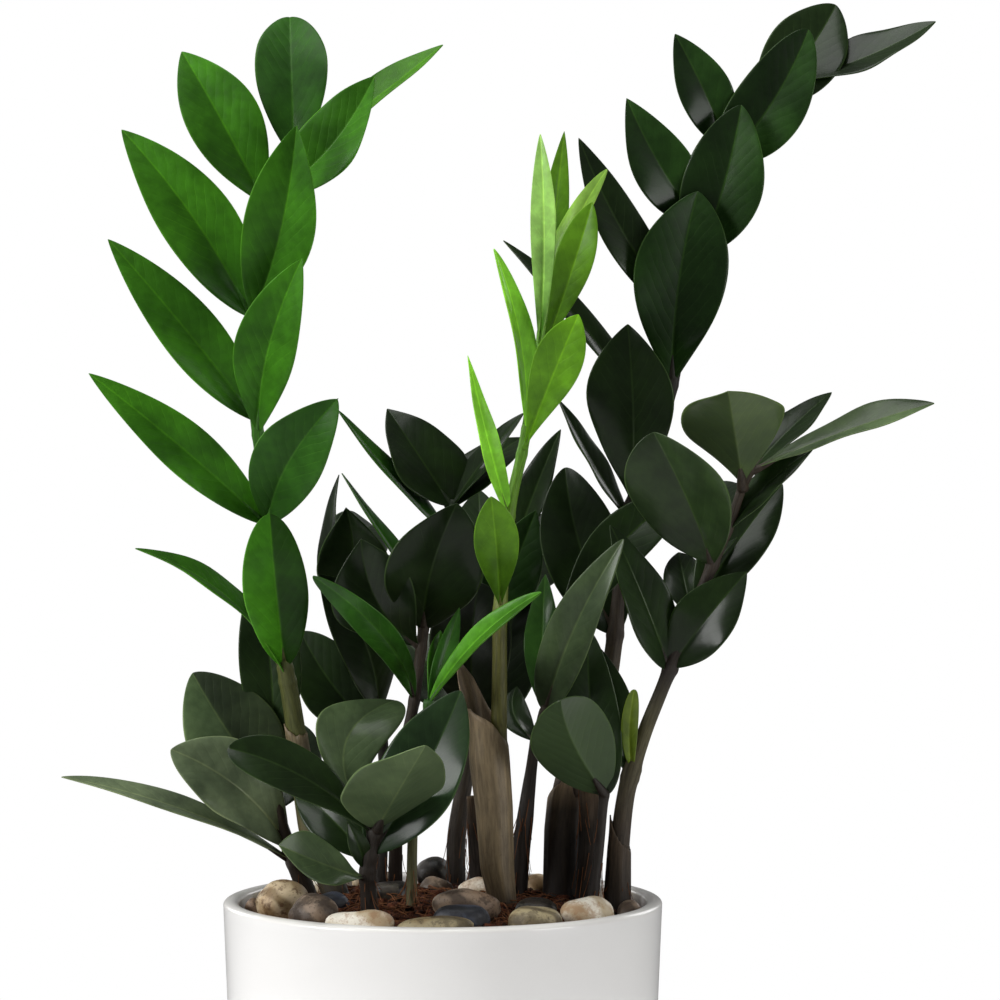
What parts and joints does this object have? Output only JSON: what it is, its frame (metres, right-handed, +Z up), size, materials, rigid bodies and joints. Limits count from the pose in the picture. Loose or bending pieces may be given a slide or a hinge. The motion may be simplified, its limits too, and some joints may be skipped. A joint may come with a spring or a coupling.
{
  "type": "potted zz plant",
  "caption": "Leafy house plant with arching fronds of glossy oval leaflets, rooted in a white glazed pot dressed with river pebbles.",
  "frame": {"origin": "middle of the pot's flat base", "axes": "+Z up along the pot's axis, -Y towards the viewer of the picture, +X to the viewer's right"},
  "size_m": [0.3235, 0.198, 0.4742],
  "materials": {
    "glaze": "glossy white glaze",
    "soil": "fibrous bark and coir",
    "rhizome": "papery brown skin",
    "leaf_green": "waxy gloss",
    "leaf_dark": "waxy gloss",
    "leaf_young": "waxy gloss",
    "old_stalk": "dry and fibrous",
    "stone_cream": "water-worn, satin",
    "stone_beige": "water-worn, satin",
    "stone_brown": "water-worn, satin",
    "stone_olive": "water-worn, satin",
    "stone_slate": "water-worn, satin",
    "stone_dark": "water-worn, satin"
  },
  "bodies": {
    "root": {"pot": "glaze", "soil": "soil", "rhizome": "rhizome", "frond_left_tall": "leaf_green", "frond_left_low": "leaf_dark", "frond_front_left": "leaf_dark", "frond_front_small": "leaf_young", "frond_mid_left": "leaf_dark", "frond_back_left": "leaf_dark", "frond_back_centre": "leaf_dark", "frond_front_centre": "leaf_dark", "frond_right_tall": "leaf_dark", "frond_front_right": "leaf_dark", "frond_right": "leaf_dark", "shoot_centre": "leaf_young", "old_stalk_right": "old_stalk", "old_stalk_back": "old_stalk", "pebble_01": "stone_beige", "pebble_02": "stone_brown", "pebble_03": "stone_brown", "pebble_04": "stone_cream", "pebble_05": "stone_olive", "pebble_06": "stone_slate", "pebble_07": "stone_brown", "pebble_08": "stone_dark", "pebble_09": "stone_slate", "pebble_10": "stone_olive", "pebble_11": "stone_cream", "pebble_12": "stone_cream", "pebble_13": "stone_dark", "pebble_14": "stone_beige", "pebble_15": "stone_cream", "pebble_16": "stone_dark", "pebble_17": "stone_cream", "pebble_18": "stone_olive", "pebble_19": "stone_beige", "pebble_20": "stone_brown", "pebble_21": "stone_olive", "pebble_22": "stone_beige", "pebble_23": "stone_brown", "pebble_24": "stone_cream", "pebble_25": "stone_brown"}
  },
  "joints": []
}
